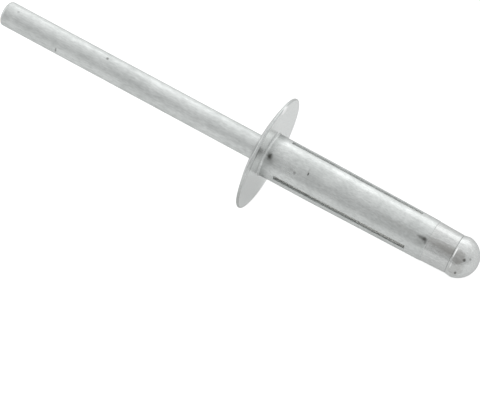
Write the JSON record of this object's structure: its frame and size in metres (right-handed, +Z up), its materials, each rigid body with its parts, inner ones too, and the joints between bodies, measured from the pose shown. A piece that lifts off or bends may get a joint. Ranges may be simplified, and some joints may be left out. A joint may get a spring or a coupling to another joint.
{
  "type": "pop rivet",
  "caption": "Blind rivet with a wide thin domed flange, a slotted shank that folds into legs behind the sheet, and a break-off pulling mandrel with a domed head.",
  "frame": {"origin": "on the floor, below the middle of the rivet's length and width as it lies", "axes": "+Z up from the floor, +X level along the rivet from the cut end of the mandrel to its domed head; the rivet's own axis lies in the XZ plane and slopes 10.3 degrees down towards the head"},
  "size_m": [0.0558, 0.0126, 0.0133],
  "materials": {
    "shell_aluminium": "satin",
    "mandrel_aluminium": "drawn satin"
  },
  "bodies": {
    "root": {"shell": "shell_aluminium", "mandrel": "mandrel_aluminium"}
  },
  "joints": []
}
